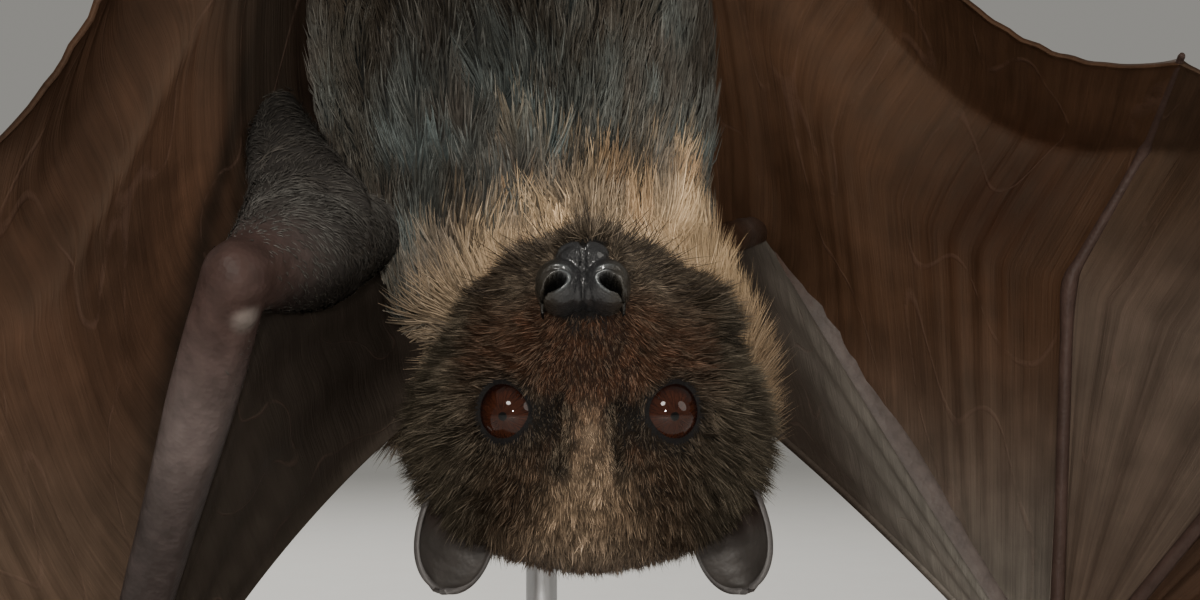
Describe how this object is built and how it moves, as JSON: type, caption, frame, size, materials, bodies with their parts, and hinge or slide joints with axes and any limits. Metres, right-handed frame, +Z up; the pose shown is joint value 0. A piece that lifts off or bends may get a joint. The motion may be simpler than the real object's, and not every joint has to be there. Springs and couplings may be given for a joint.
{
  "type": "fruit bat",
  "caption": "Life-size fruit bat hanging head down from a cut branch with half-open wings, on a flat display stand.",
  "frame": {"origin": "centre of the underside of the stand's base", "axes": "+Z up, the belly faces -Y, the bat's left wing is towards -X"},
  "size_m": [0.5627, 0.3202, 0.4774],
  "materials": {
    "dark_fur": "short dense fur",
    "collar_fur": "long soft fur",
    "belly_fur": "dense grizzled fur",
    "wing_skin": "thin bare skin with a soft sheen",
    "arm_skin": "bare wrinkled skin",
    "ear_skin": "thin bare skin",
    "nose_skin": "moist smooth skin",
    "eye_gloss": "wet gloss",
    "claw_horn": "polished horn",
    "bark": "rough bark",
    "stand_wood": "satin stained hardwood",
    "stand_steel": "brushed"
  },
  "bodies": {
    "root": {"ear_left": "ear_skin", "ear_right": "ear_skin", "eye_left": "eye_gloss", "eye_right": "eye_gloss", "finger_2_left": "arm_skin", "finger_2_right": "arm_skin", "finger_3_left": "arm_skin", "finger_3_right": "arm_skin", "finger_4_left": "arm_skin", "finger_4_right": "arm_skin", "finger_5_left": "arm_skin", "finger_5_right": "arm_skin", "finger_membrane_23_left": "wing_skin", "finger_membrane_23_right": "wing_skin", "finger_membrane_34_left": "wing_skin", "finger_membrane_34_right": "wing_skin", "finger_membrane_45_left": "wing_skin", "finger_membrane_45_right": "wing_skin", "foot_left": "arm_skin", "foot_right": "arm_skin", "forearm_left": "arm_skin", "forearm_right": "arm_skin", "front_membrane_left": "wing_skin", "front_membrane_right": "wing_skin", "head": "dark_fur", "neck": "collar_fur", "nose": "nose_skin", "perch": "bark", "shin_left": "arm_skin", "shin_right": "arm_skin", "side_membrane_left": "wing_skin", "side_membrane_right": "wing_skin", "stand_base": "stand_wood", "stand_rod_left": "stand_steel", "stand_rod_right": "stand_steel", "tail_membrane_left": "wing_skin", "tail_membrane_right": "wing_skin", "thigh_left": "belly_fur", "thigh_right": "belly_fur", "thumb_claw_left": "claw_horn", "thumb_claw_right": "claw_horn", "thumb_left": "arm_skin", "thumb_right": "arm_skin", "trunk": "belly_fur", "upper_arm_left": "arm_skin", "upper_arm_right": "arm_skin", "wrist_left": "arm_skin", "wrist_right": "arm_skin"}
  },
  "joints": []
}
